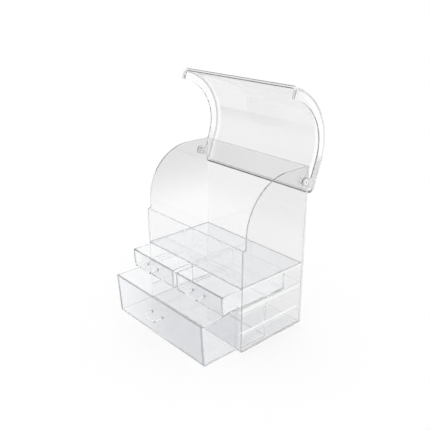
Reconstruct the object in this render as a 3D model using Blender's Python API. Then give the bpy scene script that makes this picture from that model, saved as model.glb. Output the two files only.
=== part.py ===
"""Clear acrylic desk organizer, built the way the real one is glued and pinned.

A cabinet of bonded panels holds one large drawer under two small ones. On top
of them is an open tray, closed by a curved lid that turns on two hinge pins.
The rest pose has the lid open against its stop and the drawers pulled out.

Metres, +Z up. The front faces -Y. The origin is under the middle of the
cabinet, on the surface that it stands on.
"""

import math

import bmesh
import bpy
from mathutils import Vector

MM = 0.001

# Cabinet
WIDTH = 240 * MM
DEPTH = 139 * MM
PANEL = 2.8 * MM              # thickness of every bonded panel
JOINT_GAP = 0.3 * MM          # between two faces that touch
EDGE_BEVEL = 0.35 * MM        # flame-polished panel edges
PANEL_TOP = 278 * MM          # top of the side panels and the back panel
SIDE_SETBACK = 6.5 * MM       # side panel's front edge above the tray wall
SIDE_CURVE = 85 * MM          # radius of the side panel's top front corner
STEP_FILLET = 3 * MM
SMALL_CORNER = 1 * MM         # radius of the small outline corners
FRONT_WALL_TOP = 175 * MM

# Drawers
RUNNING_GAP = 0.4 * MM        # over and under each drawer
LARGE_HEIGHT = 70.6 * MM
SMALL_HEIGHT = 32.2 * MM
DRAWER_DEPTH = 135.2 * MM
DRAWER_WALL = 2.6 * MM
DRAWER_BEVEL = 0.5 * MM
FRONT_RAKE = math.radians(4)  # lean of each drawer's moulded front
LARGE_HALF_WIDTH = 112.2 * MM
SMALL_INNER_X = 4.4 * MM      # small drawer's wall beside the divider
SMALL_OUTER_X = 115 * MM
LARGE_PULL = 75 * MM          # how far each drawer is out at rest
SMALL_PULL_LEFT = 36.8 * MM
SMALL_PULL_RIGHT = 37.6 * MM

# Guide rails beside the large drawer
RAIL_INNER_X = 113 * MM
RAIL_HEIGHT = 5 * MM
RAIL_LEVELS = {"lower": 28 * MM, "upper": 64.5 * MM}
RAIL_BACK = 62 * MM

# Bow handles
HANDLE_SPAN = 27.6 * MM       # between the middles of the two posts
HANDLE_REACH = 16 * MM        # from the drawer's front to the middle of the bar
HANDLE_RADIUS = 1.8 * MM
HANDLE_BEND = 3.4 * MM
HANDLE_BEND_STEPS = 4
LARGE_HANDLE_Z = 44.6 * MM
SMALL_HANDLE_Z = 95 * MM

# Lid, given as it stands when closed
LID_HALF_WIDTH = 126 * MM
LID_THICK = 2.5 * MM
LID_FRONT = -74.5 * MM
LID_BOTTOM = 177.5 * MM       # lower edge, just over and before the tray's front wall
LID_TOP = 285 * MM
LID_CURVE = 94 * MM
LID_BACK = 72.5 * MM
LID_BACK_CURVE = 7.6 * MM
LID_LIP_BOTTOM = 276.5 * MM     # the rear lip that stops the lid against the back
FLANGE_END = 7.3 * MM         # flat end of each flange under the lip
LID_RIM = 17.8 * MM             # depth of the side flanges
LID_BEND = 7 * MM             # outer radius where a flange meets the sheet
LID_OPEN = math.radians(109)

# Hinge
PIVOT_Y = 56 * MM
PIVOT_Z = 256 * MM
EAR_RADIUS = 7.5 * MM
EAR_NOTCH = 2 * MM            # radius in the corner between ear and flange
PIN_RADIUS = 2.5 * MM
PIN_HOLE_RADIUS = 2.8 * MM
PIN_HEAD_RADIUS = 4.6 * MM
PIN_HEAD_THICK = 1.4 * MM
PIN_HEAD_CHAMFER = 0.4 * MM
WASHER_RADIUS = 5.2 * MM
RETAINER_RADIUS = 4.4 * MM
RETAINER_THICK = 2.2 * MM

ARC_STEP = math.radians(4.5)  # largest turn between two points of an outline
ROUND_SIDES = 28
BEND_SEGMENTS = 5             # across the round where a flange meets the sheet
CUT_EXTRA = 20 * MM           # how far a cutter runs past what it cuts

# Levels and faces worked out from the sizes above
HALF = WIDTH / 2
FRONT = -DEPTH / 2
BACK = DEPTH / 2
INNER_X = HALF - PANEL - JOINT_GAP
INNER_BACK = BACK - PANEL - JOINT_GAP
LARGE_BOTTOM = PANEL + RUNNING_GAP
MIDDLE_BOTTOM = LARGE_BOTTOM + LARGE_HEIGHT + RUNNING_GAP
SMALL_BOTTOM = MIDDLE_BOTTOM + PANEL + RUNNING_GAP
TRAY_BOTTOM = SMALL_BOTTOM + SMALL_HEIGHT + RUNNING_GAP
TRAY_FLOOR = TRAY_BOTTOM + PANEL

CLEAR = (0.93, 0.95, 0.96, 0.25)
CLEAR_LID = (0.92, 0.94, 0.95, 0.25)
CLEAR_DRAWER = (0.91, 0.94, 0.95, 0.25)


def clear_scene():
    """Remove the objects that the open file starts with."""
    for leftover in list(bpy.data.objects):
        bpy.data.objects.remove(leftover, do_unlink=True)


def plastic(name, colour, roughness):
    """Return a clear plastic material of its own for one sub-part."""
    material = bpy.data.materials.new(name + "_plastic")
    material.use_nodes = True
    shader = material.node_tree.nodes["Principled BSDF"]
    shader.inputs["Base Color"].default_value = (*colour[:3], 1)
    shader.inputs["Roughness"].default_value = roughness
    shader.inputs["Metallic"].default_value = 0
    shader.inputs["IOR"].default_value = 1.49
    shader.inputs["Transmission Weight"].default_value = 1
    material.diffuse_color = colour
    return material


def add_object(name, mesh, colour=CLEAR, roughness=0.04):
    """Link a mesh as a named object with its own material."""
    piece = bpy.data.objects.new(name, mesh)
    bpy.context.scene.collection.objects.link(piece)
    piece.data.materials.append(plastic(name, colour, roughness))
    return piece


def mesh_from(name, bm, smooth_angle=math.radians(30)):
    """Turn a bmesh into a mesh with outward faces and smooth round stretches."""
    bmesh.ops.recalc_face_normals(bm, faces=bm.faces)
    mesh = bpy.data.meshes.new(name)
    bm.to_mesh(mesh)
    bm.free()
    mesh.shade_smooth()
    mesh.set_sharp_from_angle(angle=smooth_angle)
    return mesh


def bevelled(piece, width=EDGE_BEVEL, segments=2):
    """Round the sharp edges of a piece."""
    modifier = piece.modifiers.new("edges", "BEVEL")
    modifier.width = width
    modifier.segments = segments
    modifier.limit_method = "ANGLE"
    modifier.angle_limit = math.radians(40)
    modifier.harden_normals = False
    return piece


def box_bmesh(low, high):
    """Return a bmesh box between two corners."""
    bm = bmesh.new()
    bmesh.ops.create_cube(bm, size=1)
    for vertex in bm.verts:
        for axis in range(3):
            vertex.co[axis] = low[axis] if vertex.co[axis] < 0 else high[axis]
    return bm


def add_panel(name, low, high):
    """Add a flat rectangular panel with polished edges."""
    return bevelled(add_object(name, mesh_from(name, box_bmesh(low, high))))


def fillet(before, corner, after, radius):
    """Return the points of an arc of the given radius that rounds a corner."""
    behind = Vector((before[0] - corner[0], before[1] - corner[1])).normalized()
    ahead = Vector((after[0] - corner[0], after[1] - corner[1])).normalized()
    half_opening = math.acos(behind.dot(ahead)) / 2
    corner = Vector(corner)
    centre = corner + (behind + ahead).normalized() * radius / math.sin(half_opening)
    start = corner + behind * radius / math.tan(half_opening) - centre
    end = corner + ahead * radius / math.tan(half_opening) - centre
    first = math.atan2(start.y, start.x)
    turn = (math.atan2(end.y, end.x) - first + math.pi) % (2 * math.pi) - math.pi
    steps = max(2, math.ceil(abs(turn) / ARC_STEP))
    angles = [first + turn * step / steps for step in range(steps + 1)]
    return [(centre.x + radius * math.cos(a), centre.y + radius * math.sin(a)) for a in angles]


def rounded_outline(corners):
    """Return the points of a closed (y, z) outline given as (y, z, radius) corners."""
    points = []
    for index, (y, z, radius) in enumerate(corners):
        before = corners[index - 1]
        after = corners[(index + 1) % len(corners)]
        points += fillet(before, (y, z), after, radius) if radius else [(y, z)]
    return points


def extruded(outline, low_x, high_x, round_points=0, round_radius=0):
    """Return a bmesh of an outline in the YZ plane, extruded along X.

    The rim that joins the outline's first round_points points is rounded on
    both of its sides.
    """
    bm = bmesh.new()
    rims = [[bm.verts.new((x, y, z)) for y, z in outline] for x in (low_x, high_x)]
    bm.faces.new(reversed(rims[0]))
    bm.faces.new(rims[1])
    for index in range(len(outline)):
        after = (index + 1) % len(outline)
        bm.faces.new((rims[0][index], rims[0][after], rims[1][after], rims[1][index]))
    bmesh.ops.recalc_face_normals(bm, faces=bm.faces)
    if round_points:
        rounded = [bm.edges.get(pair) for rim in rims for pair in zip(rim, rim[1:round_points])]
        bmesh.ops.bevel(bm, geom=rounded, offset=round_radius, segments=BEND_SEGMENTS, profile=0.5,
                        affect="EDGES", clamp_overlap=False)
    return bm


def hinge_circle(radius):
    """Return the (y, z) points of a circle round the hinge axis."""
    turns = [2 * math.pi * side / ROUND_SIDES for side in range(ROUND_SIDES)]
    return [(PIVOT_Y + radius * math.cos(turn), PIVOT_Z + radius * math.sin(turn)) for turn in turns]


def turned(bm, profile):
    """Add one ring of vertices round the hinge axis for each (radius, x) of a profile."""
    return [[bm.verts.new((x, y, z)) for y, z in hinge_circle(radius)] for radius, x in profile]


def skin(bm, rings):
    """Join each ring of vertices to the next one."""
    for ring, following in zip(rings, rings[1:]):
        for side in range(ROUND_SIDES):
            after = (side + 1) % ROUND_SIDES
            bm.faces.new((ring[side], ring[after], following[after], following[side]))


def add_cutter(name, bm):
    """Link a bmesh as a hidden cutting tool."""
    cutter = bpy.data.objects.new(name, mesh_from(name, bm))
    bpy.context.scene.collection.objects.link(cutter)
    cutter.hide_render = True
    cutter.display_type = "WIRE"
    return cutter


def cut(piece, cutter):
    """Subtract a cutter from a piece."""
    modifier = piece.modifiers.new(cutter.name, "BOOLEAN")
    modifier.operation = "DIFFERENCE"
    modifier.solver = "EXACT"
    modifier.object = cutter
    return piece


def add_side_panels():
    """Add the two cabinet sides, full height, with the quarter round on top."""
    curve_front = FRONT + SIDE_SETBACK
    outline = rounded_outline([
        (FRONT, 0, 0),
        (BACK, 0, 0),
        (BACK, PANEL_TOP, SMALL_CORNER),
        (curve_front, PANEL_TOP, SIDE_CURVE),
        (curve_front, FRONT_WALL_TOP, STEP_FILLET),
        (FRONT, FRONT_WALL_TOP, SMALL_CORNER),
    ])
    cutter_x = HALF + CUT_EXTRA
    hole = add_cutter("pin_hole_cutter", extruded(hinge_circle(PIN_HOLE_RADIUS), -cutter_x, cutter_x))
    for side, low_x, high_x in (("left", -HALF, PANEL - HALF), ("right", HALF - PANEL, HALF)):
        name = "side_panel_" + side
        panel = add_object(name, mesh_from(name, extruded(outline, low_x, high_x)))
        cut(bevelled(panel), hole)


def add_cabinet_panels():
    """Add the panels bonded between the two sides."""
    add_panel("back_panel", (-INNER_X, BACK - PANEL, 0), (INNER_X, BACK, PANEL_TOP))
    add_panel("base_panel", (-INNER_X, FRONT, 0), (INNER_X, INNER_BACK, PANEL))
    shelf_top = MIDDLE_BOTTOM + PANEL
    add_panel("middle_shelf", (-INNER_X, FRONT, MIDDLE_BOTTOM), (INNER_X, INNER_BACK, shelf_top))
    add_panel("top_shelf", (-INNER_X, FRONT, TRAY_BOTTOM), (INNER_X, INNER_BACK, TRAY_FLOOR))
    wall_low = (-INNER_X, FRONT, TRAY_FLOOR + JOINT_GAP)
    add_panel("front_wall", wall_low, (INNER_X, FRONT + PANEL, FRONT_WALL_TOP))
    divider_low = (-PANEL / 2, FRONT, shelf_top + JOINT_GAP)
    divider_high = (PANEL / 2, INNER_BACK, TRAY_BOTTOM - JOINT_GAP)
    add_panel("drawer_divider", divider_low, divider_high)


def add_guide_rails():
    """Add the two strips on each side that keep the large drawer straight."""
    for level, bottom in RAIL_LEVELS.items():
        for side, low_x, high_x in (("left", -INNER_X, -RAIL_INNER_X), ("right", RAIL_INNER_X, INNER_X)):
            low = (low_x, FRONT, bottom)
            add_panel(f"guide_rail_{side}_{level}", low, (high_x, RAIL_BACK, bottom + RAIL_HEIGHT))


def tray_bmesh(width, height):
    """Return an open tray about its middle, its raked front's top edge at y = 0."""
    lean = math.tan(FRONT_RAKE)
    wall = DRAWER_WALL
    front_wall = wall / math.cos(FRONT_RAKE)
    outer = [
        [(height * lean, 0), (DRAWER_DEPTH, 0)],
        [(0, height), (DRAWER_DEPTH, height)],
    ]
    inner = [
        [(front_wall, height), (DRAWER_DEPTH - wall, height)],
        [(front_wall + (height - wall) * lean, wall), (DRAWER_DEPTH - wall, wall)],
    ]
    bm = bmesh.new()
    rings = []
    for levels, half in ((outer, width / 2), (inner, width / 2 - wall)):
        for front, back in levels:
            ring = [(-half, *front), (half, *front), (half, *back), (-half, *back)]
            rings.append([bm.verts.new(corner) for corner in ring])
    bm.faces.new(reversed(rings[0]))
    for lower, upper in zip(rings, rings[1:]):
        for index in range(4):
            after = (index + 1) % 4
            bm.faces.new((lower[index], lower[after], upper[after], upper[index]))
    bm.faces.new(rings[3])
    return bm


def add_handle(name, drawer, centre_x, front_y, top_z, handle_z):
    """Add a bow handle on a drawer's raked front, its posts square to that front."""
    drop = top_z - handle_z
    curve = bpy.data.curves.new(name, "CURVE")
    curve.dimensions = "3D"
    curve.bevel_depth = HANDLE_RADIUS
    curve.bevel_resolution = 2
    curve.use_fill_caps = True
    route = [(-HANDLE_SPAN / 2, -JOINT_GAP)]
    for end in (-1, 1):
        middle = (end * (HANDLE_SPAN / 2 - HANDLE_BEND), -HANDLE_REACH + HANDLE_BEND)
        for step in range(HANDLE_BEND_STEPS + 1):
            turn = step / HANDLE_BEND_STEPS * math.pi / 2
            along = turn if end < 0 else math.pi / 2 - turn
            x = middle[0] + end * HANDLE_BEND * math.cos(along)
            route.append((x, middle[1] - HANDLE_BEND * math.sin(along)))
    route.append((HANDLE_SPAN / 2, -JOINT_GAP))
    spline = curve.splines.new("POLY")
    spline.points.add(len(route) - 1)
    for point, (x, y) in zip(spline.points, route):
        point.co = (x, y, 0, 1)
    handle = add_object(name, curve, CLEAR_DRAWER)
    handle.parent = drawer
    handle.location = (centre_x, front_y + drop * math.tan(FRONT_RAKE), handle_z)
    handle.rotation_euler = (FRONT_RAKE, 0, 0)
    return handle


def add_drawer(box_name, handle_name, centre_x, width, bottom, height, pull, handle_z):
    """Add one drawer, pulled out, and its handle, on an empty at the closed front."""
    slide = bpy.data.objects.new(box_name + "_slide", None)
    bpy.context.scene.collection.objects.link(slide)
    slide.location = (0, FRONT - pull, 0)
    tray = add_object(box_name, mesh_from(box_name, tray_bmesh(width, height)), CLEAR_DRAWER)
    tray.parent = slide
    tray.location = (centre_x, 0, bottom)
    bevelled(tray, DRAWER_BEVEL)
    add_handle(handle_name, slide, centre_x, 0, bottom + height, handle_z)


def add_drawers():
    """Add the large drawer and the two small ones above it."""
    large_width = 2 * LARGE_HALF_WIDTH
    add_drawer("large_drawer_box", "large_drawer_handle", 0, large_width, LARGE_BOTTOM,
               LARGE_HEIGHT, LARGE_PULL, LARGE_HANDLE_Z)
    small_width = SMALL_OUTER_X - SMALL_INNER_X
    small_middle = (SMALL_OUTER_X + SMALL_INNER_X) / 2
    for side, sign, pull in (("left", -1, SMALL_PULL_LEFT), ("right", 1, SMALL_PULL_RIGHT)):
        add_drawer("small_drawer_box_" + side, "small_drawer_handle_" + side, sign * small_middle,
                   small_width, SMALL_BOTTOM, SMALL_HEIGHT, pull, SMALL_HANDLE_Z)


def ear_corner():
    """Return the corner whose fillet joins the flange's rear end to the round ear.

    It is where the tangent from the inner corner of that end to the ear's
    circle meets the level of the ear's lowest point.
    """
    across = LID_BACK - FLANGE_END - PIVOT_Y
    up = LID_LIP_BOTTOM - PIVOT_Z
    to_lip = math.atan2(up, across)
    touch = to_lip - math.acos(EAR_RADIUS / math.hypot(across, up))
    touch_y = PIVOT_Y + EAR_RADIUS * math.cos(touch)
    touch_z = PIVOT_Z + EAR_RADIUS * math.sin(touch)
    level = PIVOT_Z - EAR_RADIUS
    slope = (PIVOT_Y + across - touch_y) / (PIVOT_Z + up - touch_z)
    return touch_y + (level - touch_z) * slope, level


def lid_sheet_corners(inset):
    """Return the corners of the lid's sheet in side view, this far inside its outer face."""
    low_z = LID_LIP_BOTTOM if not inset else PIVOT_Z - CUT_EXTRA
    return [
        (LID_FRONT + inset, LID_BOTTOM - (CUT_EXTRA if inset else 0), 0),
        (LID_FRONT + inset, LID_TOP - inset, LID_CURVE - inset),
        (LID_BACK - inset, LID_TOP - inset, LID_BACK_CURVE - inset),
        (LID_BACK - inset, low_z, 0),
    ]


def lid_solid():
    """Return the closed lid's outer shape, with the sheet's long edges rounded."""
    rim_top = LID_TOP - LID_RIM
    rim_front = LID_FRONT + LID_RIM
    ear_y, ear_z = ear_corner()
    ear_front = PIVOT_Y - EAR_RADIUS
    sheet = lid_sheet_corners(0)
    flange = [
        (LID_BACK - FLANGE_END, LID_LIP_BOTTOM, 0),
        (ear_y, ear_z, EAR_RADIUS),
        (ear_front, ear_z, EAR_RADIUS),
        (ear_front, rim_top, EAR_NOTCH),
        (rim_front, rim_top, LID_CURVE - LID_RIM),
        (rim_front, LID_BOTTOM, SMALL_CORNER),
    ]
    outline = rounded_outline(sheet + flange)
    sheet_points = len(rounded_outline(sheet))
    return extruded(outline, -LID_HALF_WIDTH, LID_HALF_WIDTH, sheet_points, LID_BEND)


def lid_hollow():
    """Return the cutter that leaves only the lid's sheet, flanges and rear lip."""
    sheet = lid_sheet_corners(LID_THICK)
    below = [
        (PIVOT_Y - CUT_EXTRA, PIVOT_Z - CUT_EXTRA, 0),
        (PIVOT_Y - CUT_EXTRA, LID_BOTTOM - CUT_EXTRA, 0),
    ]
    outline = rounded_outline(sheet + below)
    inner_x = LID_HALF_WIDTH - LID_THICK
    sheet_points = len(rounded_outline(sheet))
    return extruded(outline, -inner_x, inner_x, sheet_points, LID_BEND - LID_THICK)


def add_lid():
    """Add the lid, turned open on an empty that stands on the hinge axis."""
    hinge = bpy.data.objects.new("lid_hinge_axis", None)
    bpy.context.scene.collection.objects.link(hinge)
    hinge.location = (0, PIVOT_Y, PIVOT_Z)
    lid = add_object("lid_shell", mesh_from("lid_shell", lid_solid()), CLEAR_LID)
    hollow = add_cutter("lid_hollow_cutter", lid_hollow())
    cutter_x = LID_HALF_WIDTH + CUT_EXTRA
    ears = add_cutter("lid_pin_cutter", extruded(hinge_circle(PIN_HOLE_RADIUS), -cutter_x, cutter_x))
    for piece in (lid, hollow, ears):
        piece.parent = hinge
        piece.location = (0, -PIVOT_Y, -PIVOT_Z)
    cut(cut(lid, hollow), ears)
    hinge.rotation_euler = (-LID_OPEN, 0, 0)


def ring_bmesh(outer, inner, low_x, high_x):
    """Return a flat ring round the hinge axis."""
    bm = bmesh.new()
    rings = turned(bm, ((outer, low_x), (outer, high_x), (inner, high_x), (inner, low_x)))
    skin(bm, rings + rings[:1])
    return bm


def pin_bmesh(sign, shank_end, head_inner, head_outer):
    """Return a headed pin along X, its head outside the lid's ear."""
    bm = bmesh.new()
    rings = turned(bm, (
        (PIN_RADIUS, sign * shank_end),
        (PIN_RADIUS, sign * head_inner),
        (PIN_HEAD_RADIUS, sign * head_inner),
        (PIN_HEAD_RADIUS, sign * (head_outer - PIN_HEAD_CHAMFER)),
        (PIN_HEAD_RADIUS - PIN_HEAD_CHAMFER, sign * head_outer),
    ))
    skin(bm, rings)
    bm.faces.new(rings[0])
    bm.faces.new(rings[-1])
    return bm


def add_hinges():
    """Add the pin, the spacing washer and the retaining ring of each hinge."""
    washer_low = HALF + JOINT_GAP
    washer_high = LID_HALF_WIDTH - LID_THICK - JOINT_GAP
    head_inner = LID_HALF_WIDTH + JOINT_GAP
    head_outer = head_inner + PIN_HEAD_THICK
    retainer_high = INNER_X
    retainer_low = retainer_high - RETAINER_THICK
    for side, sign in (("left", -1), ("right", 1)):
        pin_name = "hinge_pin_" + side
        pin = pin_bmesh(sign, retainer_low, head_inner, head_outer)
        add_object(pin_name, mesh_from(pin_name, pin))
        for name, radius, low_x, high_x in (
            ("hinge_washer_" + side, WASHER_RADIUS, washer_low, washer_high),
            ("hinge_retainer_" + side, RETAINER_RADIUS, retainer_low, retainer_high),
        ):
            ring = ring_bmesh(radius, PIN_HOLE_RADIUS, sign * low_x, sign * high_x)
            add_object(name, mesh_from(name, ring))


def build():
    """Build the whole organizer."""
    clear_scene()
    add_side_panels()
    add_cabinet_panels()
    add_guide_rails()
    add_drawers()
    add_lid()
    add_hinges()


build()
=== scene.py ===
"""Looks of the clear acrylic desk organizer: materials, fine surfaces, floor, light and camera.

Metres, +Z up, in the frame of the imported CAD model.
"""

import math

import bmesh
import bpy
from mathutils import Euler, Matrix, Vector


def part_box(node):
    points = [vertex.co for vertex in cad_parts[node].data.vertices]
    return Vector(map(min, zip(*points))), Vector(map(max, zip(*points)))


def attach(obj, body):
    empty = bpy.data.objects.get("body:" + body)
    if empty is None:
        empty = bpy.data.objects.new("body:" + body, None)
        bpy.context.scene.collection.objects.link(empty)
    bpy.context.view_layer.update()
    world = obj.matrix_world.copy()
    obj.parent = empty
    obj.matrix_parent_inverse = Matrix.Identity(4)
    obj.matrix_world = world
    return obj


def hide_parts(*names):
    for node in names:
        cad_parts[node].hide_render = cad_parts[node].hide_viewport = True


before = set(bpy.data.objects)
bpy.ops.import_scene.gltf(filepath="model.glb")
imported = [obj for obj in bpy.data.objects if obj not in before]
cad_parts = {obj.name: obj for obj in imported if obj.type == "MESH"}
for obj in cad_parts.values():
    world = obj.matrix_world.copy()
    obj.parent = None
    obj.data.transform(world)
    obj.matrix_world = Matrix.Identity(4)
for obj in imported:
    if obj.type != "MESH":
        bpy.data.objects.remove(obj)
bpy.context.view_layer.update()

MM = 0.001

# Camera, standing in front of the organizer's right side and above it
LOOK_AT = Vector((-0.0211, 0.0, 0.1729))
CAMERA_AZIMUTH = math.radians(48.42)
CAMERA_ELEVATION = math.radians(21.68)
CAMERA_DISTANCE = 1.0116
CAMERA_LENS = 49.8

# Studio: where its light changes is given as sines of angles
FLOOR_RADIUS = 40.0
FLOOR_SIDES = 96
FLOOR_ALBEDO = 0.9
FLOOR_GAP = 0.1 * MM          # between the floor and the organizer's underside
BACKDROP_LIGHT = 1.0          # white paper all round, up to HORIZON_TOP over the floor
HORIZON_TOP = 0.15
HORIZON_SOFT = 0.15
ROOM_LIGHT = 0.5              # the room over it, in front of the organizer
ROOM_BEGIN = -0.35
ROOM_END = 0.45
LAMP_LIGHT = 1.14             # the wide lamp overhead
LAMP_EDGE = 0.6
LAMP_SOFT = 0.2
FILL_POWER = 0.8
FILL_ANGLE = math.radians(60)
FILL_AZIMUTH = math.radians(65)
FILL_ELEVATION = math.radians(40)

# Acrylic: noise scales are in waves per metre
LIGHT_BOUNCES = 96
ACRYLIC_IOR = 1.49
CLEAR = (0.986, 0.987, 0.99)
LAMP_SHARE = 0.965            # how much of a lamp's light passes a face
LEVEL_LAMP_SHARE = 0.997      # the same for shelves, which lie over each other
DRAWER_LAMP_SHARE = 0.99
TINT_NOISE = 9.0
SMUDGE_NOISE = 34.0
SMUDGE = 0.02                 # roughness where the sheet was touched most
RIPPLE_NOISE = 45.0
RIPPLE_HEIGHT = 0.002 * MM
RIPPLE_STRENGTH = 0.35
TRAY_MILK = 0.2               # share of the light that fine scratches scatter
SMALL_DRAWER_MILK = 0.12
FLANGE_MILK = 0.2

# Cloudy acrylic; its white also serves as painted highlight on the rails, handles and right seams
CLOUD_NOISE = 60.0
CLOUD_DARK = (0.93, 0.935, 0.94)
CLOUD_LIGHT = (0.99, 0.99, 0.99)
GLOSS_NOISE = 80.0
GLOSS_ROUGHNESS = (0.08, 0.22)
HANDLE_CLEAR = 0.5            # shares of the light that go straight through
RIM_CLEAR = 0.4
PIN_CLEAR = 0.35
RAIL_CLEAR = 0.75
# the rails' white edges are a painted glint
RAIL_GLINT_CLEAR = 0.05
# the white cement is a painted glint
GLINT_CEMENT_CLEAR = 0.05

# Parts of a face's normal that tell faces apart, and how softly
FACING_SOFT = 0.1
EDGE_FACING = 0.5             # an edge's, along the sheet's thin axis, is under this
UPRIGHT_FACING = 0.4          # an upright face's, upward, is under this
DRAWER_FRONT_FACING = -0.6    # a drawer front's, along Y, is under this
TRAY_FRONT_FACING = -0.5
LIP_FACING = -0.7
RIM_END_FACING = -0.35
UNDERSIDE_FACING = -0.2
FLANGE_FACING = 0.97          # a flange's, along X, is over this

# Lid, closed, as in the CAD model, with its thicker front rim
LID_HALF_WIDTH = 126 * MM
LID_THICK = 2.5 * MM
LID_FRONT = -74.5 * MM
LID_BOTTOM = 177.5 * MM
LID_TOP = 285 * MM
LID_CURVE = 94 * MM
LID_BACK = 72.5 * MM
LID_BACK_CURVE = 7.6 * MM
LID_LIP_BOTTOM = 276.5 * MM
FLANGE_END = 7.3 * MM
LID_RIM = 17.8 * MM           # width of the flanges
LID_BEND = 7 * MM
SMALL_CORNER = 1 * MM
PIVOT = Vector((0, 56 * MM, 256 * MM))
LID_OPEN = math.radians(109)
EAR_RADIUS = 7.5 * MM
EAR_NOTCH = 2 * MM
PIN_HOLE_RADIUS = 2.8 * MM
PIN_HOLE_SIDES = 40
# radius of a spot of painted shade in the middle of a pin's head
PIN_SHADE_SPOT = 1.6 * MM
BEAD_HEIGHT = 4 * MM
BEAD_OUT = 1.0 * MM           # how far the rim stands out of the sheet
BEAD_IN = 1.3 * MM
BEAD_SOFT = 0.5 * MM
BEAD_LINE = 1.5 * MM          # the line of painted shade along each of its edges
BEAD_LINE_SOFT = 0.15 * MM
BEAD_GAP = 0.05 * MM

# Stretches of the closed lid that look different: a hazier bend, and stretches of painted reflection and
# painted shade
BEND_HAZE = 0.3               # roughness of its bent long edges
LID_PAINTED_LIGHT_RIGHT = LID_HALF_WIDTH - LID_RIM - 3 * MM     # past these the sheet is painted lighter, a painted reflection
LID_PAINTED_LIGHT_LEFT = -LID_HALF_WIDTH + LID_BEND + 2 * MM
INNER_EDGE_RADIUS = 30 * MM   # an edge that faces the curve's middle is this far from it
LID_REFLECTION_BAND = -30 * MM           # where a darker band of painted reflection across the sheet begins
LID_REFLECTION_BAND_WIDTH = 26 * MM
LID_EAR = 16 * MM             # where the flanges turn darker towards their ears with painted shade
LID_EAR_SOFT = 8 * MM

# Bow handles
HANDLE_SPAN = 27.6 * MM
HANDLE_REACH = 16 * MM
HANDLE_RADIUS = 1.8 * MM
HANDLE_FOOT_RADIUS = 2.3 * MM
HANDLE_FOOT = 1.6 * MM
HANDLE_FOOT_EDGE = 0.3 * MM
HANDLE_FOOT_STEPS = 4
HANDLE_BEND = 3.4 * MM
HANDLE_BEND_STEPS = 10
HANDLE_GAP = 0.3 * MM
HANDLE_SIDES = 24
FRONT_RAKE = math.radians(4)

# Cabinet and drawers
CABINET_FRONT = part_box("side_panel_right")[0].y
CABINET_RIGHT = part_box("side_panel_right")[0].x     # the right panel's inner face
TRAY_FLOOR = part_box("top_shelf")[1].z
PANEL_REFLECTION_SPAN = (150 * MM, 265 * MM)     # over which a panel darkens upward, a painted reflection
BACK_REFLECTION_SPAN = (140 * MM, 215 * MM)
PANEL_FOOT = 0.9 * MM
TRAY_LINE = 1.2 * MM
RAIL_MIDDLE = 0.9 * MM
RAIL_SOFT = 0.6 * MM
SEAM_CLEAR = 0.05 * MM
SEAM_FILLET = 2.4 * MM
SEAM_UNDER_TOP = 0.4 * MM
SEAM_END = 0.5 * MM
DRAWER_RIM = 1.5 * MM
DRAWER_RIM_DEPTH = 4 * MM
DRAWER_FRONT_DEPTH = 12 * MM
DRAWER_FOOT = 1.6 * MM
DRAWER_PALE_END = 60 * MM     # how far from the right its front's painted shade is darkest
LARGE_CORNER = 4.6 * MM
SMALL_DRAWER_CORNER = 3 * MM

# Tints of stretches where the eye looks along the sheet, not through it, and of small marks: painted shade
# along edges and rims, under the handles and in the pins' heads, painted contact shadow at the feet, and
# painted dark reflections in the handles' bends and roots; only the tray's line is a dark joint
DRAWER_RIM_SHADE = (0.36, 0.37, 0.4)
DRAWER_CORNER_SHADE = (0.46, 0.47, 0.5)
DRAWER_FOOT_SHADOW = (0.25, 0.26, 0.27)
PANEL_FOOT_SHADOW = (0.5, 0.51, 0.52)
REAR_EDGE_SHADE = (0.3, 0.31, 0.32)
SHELF_EDGE_SHADE = (0.85, 0.86, 0.87)
TRAY_FRONT_SHADE = (0.65, 0.66, 0.69)
TRAY_LINE_TINT = (0.22, 0.23, 0.26)
HANDLE_DARK_REFLECTION = (0.04, 0.04, 0.045)
HANDLE_UNDERSIDE_SHADE = (0.3, 0.31, 0.34)
PIN_SHADE_SPOT_TINT = (0.2, 0.21, 0.22)
RIM_LINE_SHADE = (0.24, 0.24, 0.28)
LID_EDGE_SHADE = (0.2, 0.2, 0.22)
LID_LEFT_EDGE_SHADE = (0.42, 0.42, 0.45)
LID_LINE_SHADE = (0.03, 0.03, 0.035)

# Tints of the lid's sheet and flanges, with a band of painted reflection and painted shade towards the ears
LID_DARK = (0.844, 0.844, 0.846)
LID_LIGHT = (0.88, 0.88, 0.882)
LID_REFLECTION_BAND_TINT = (0.78, 0.78, 0.782)
LID_EAR_SHADE = (0.74, 0.74, 0.745)

# Meshes
ARC_STEP = math.radians(2)    # largest turn between two points of an outline
SMOOTH_ANGLE = math.radians(25)
HANDLE_SMOOTH_ANGLE = math.radians(50)
BEND_SEGMENTS = 8
BEAD_SEGMENTS = 3
CUT_EXTRA = 20 * MM


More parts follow.
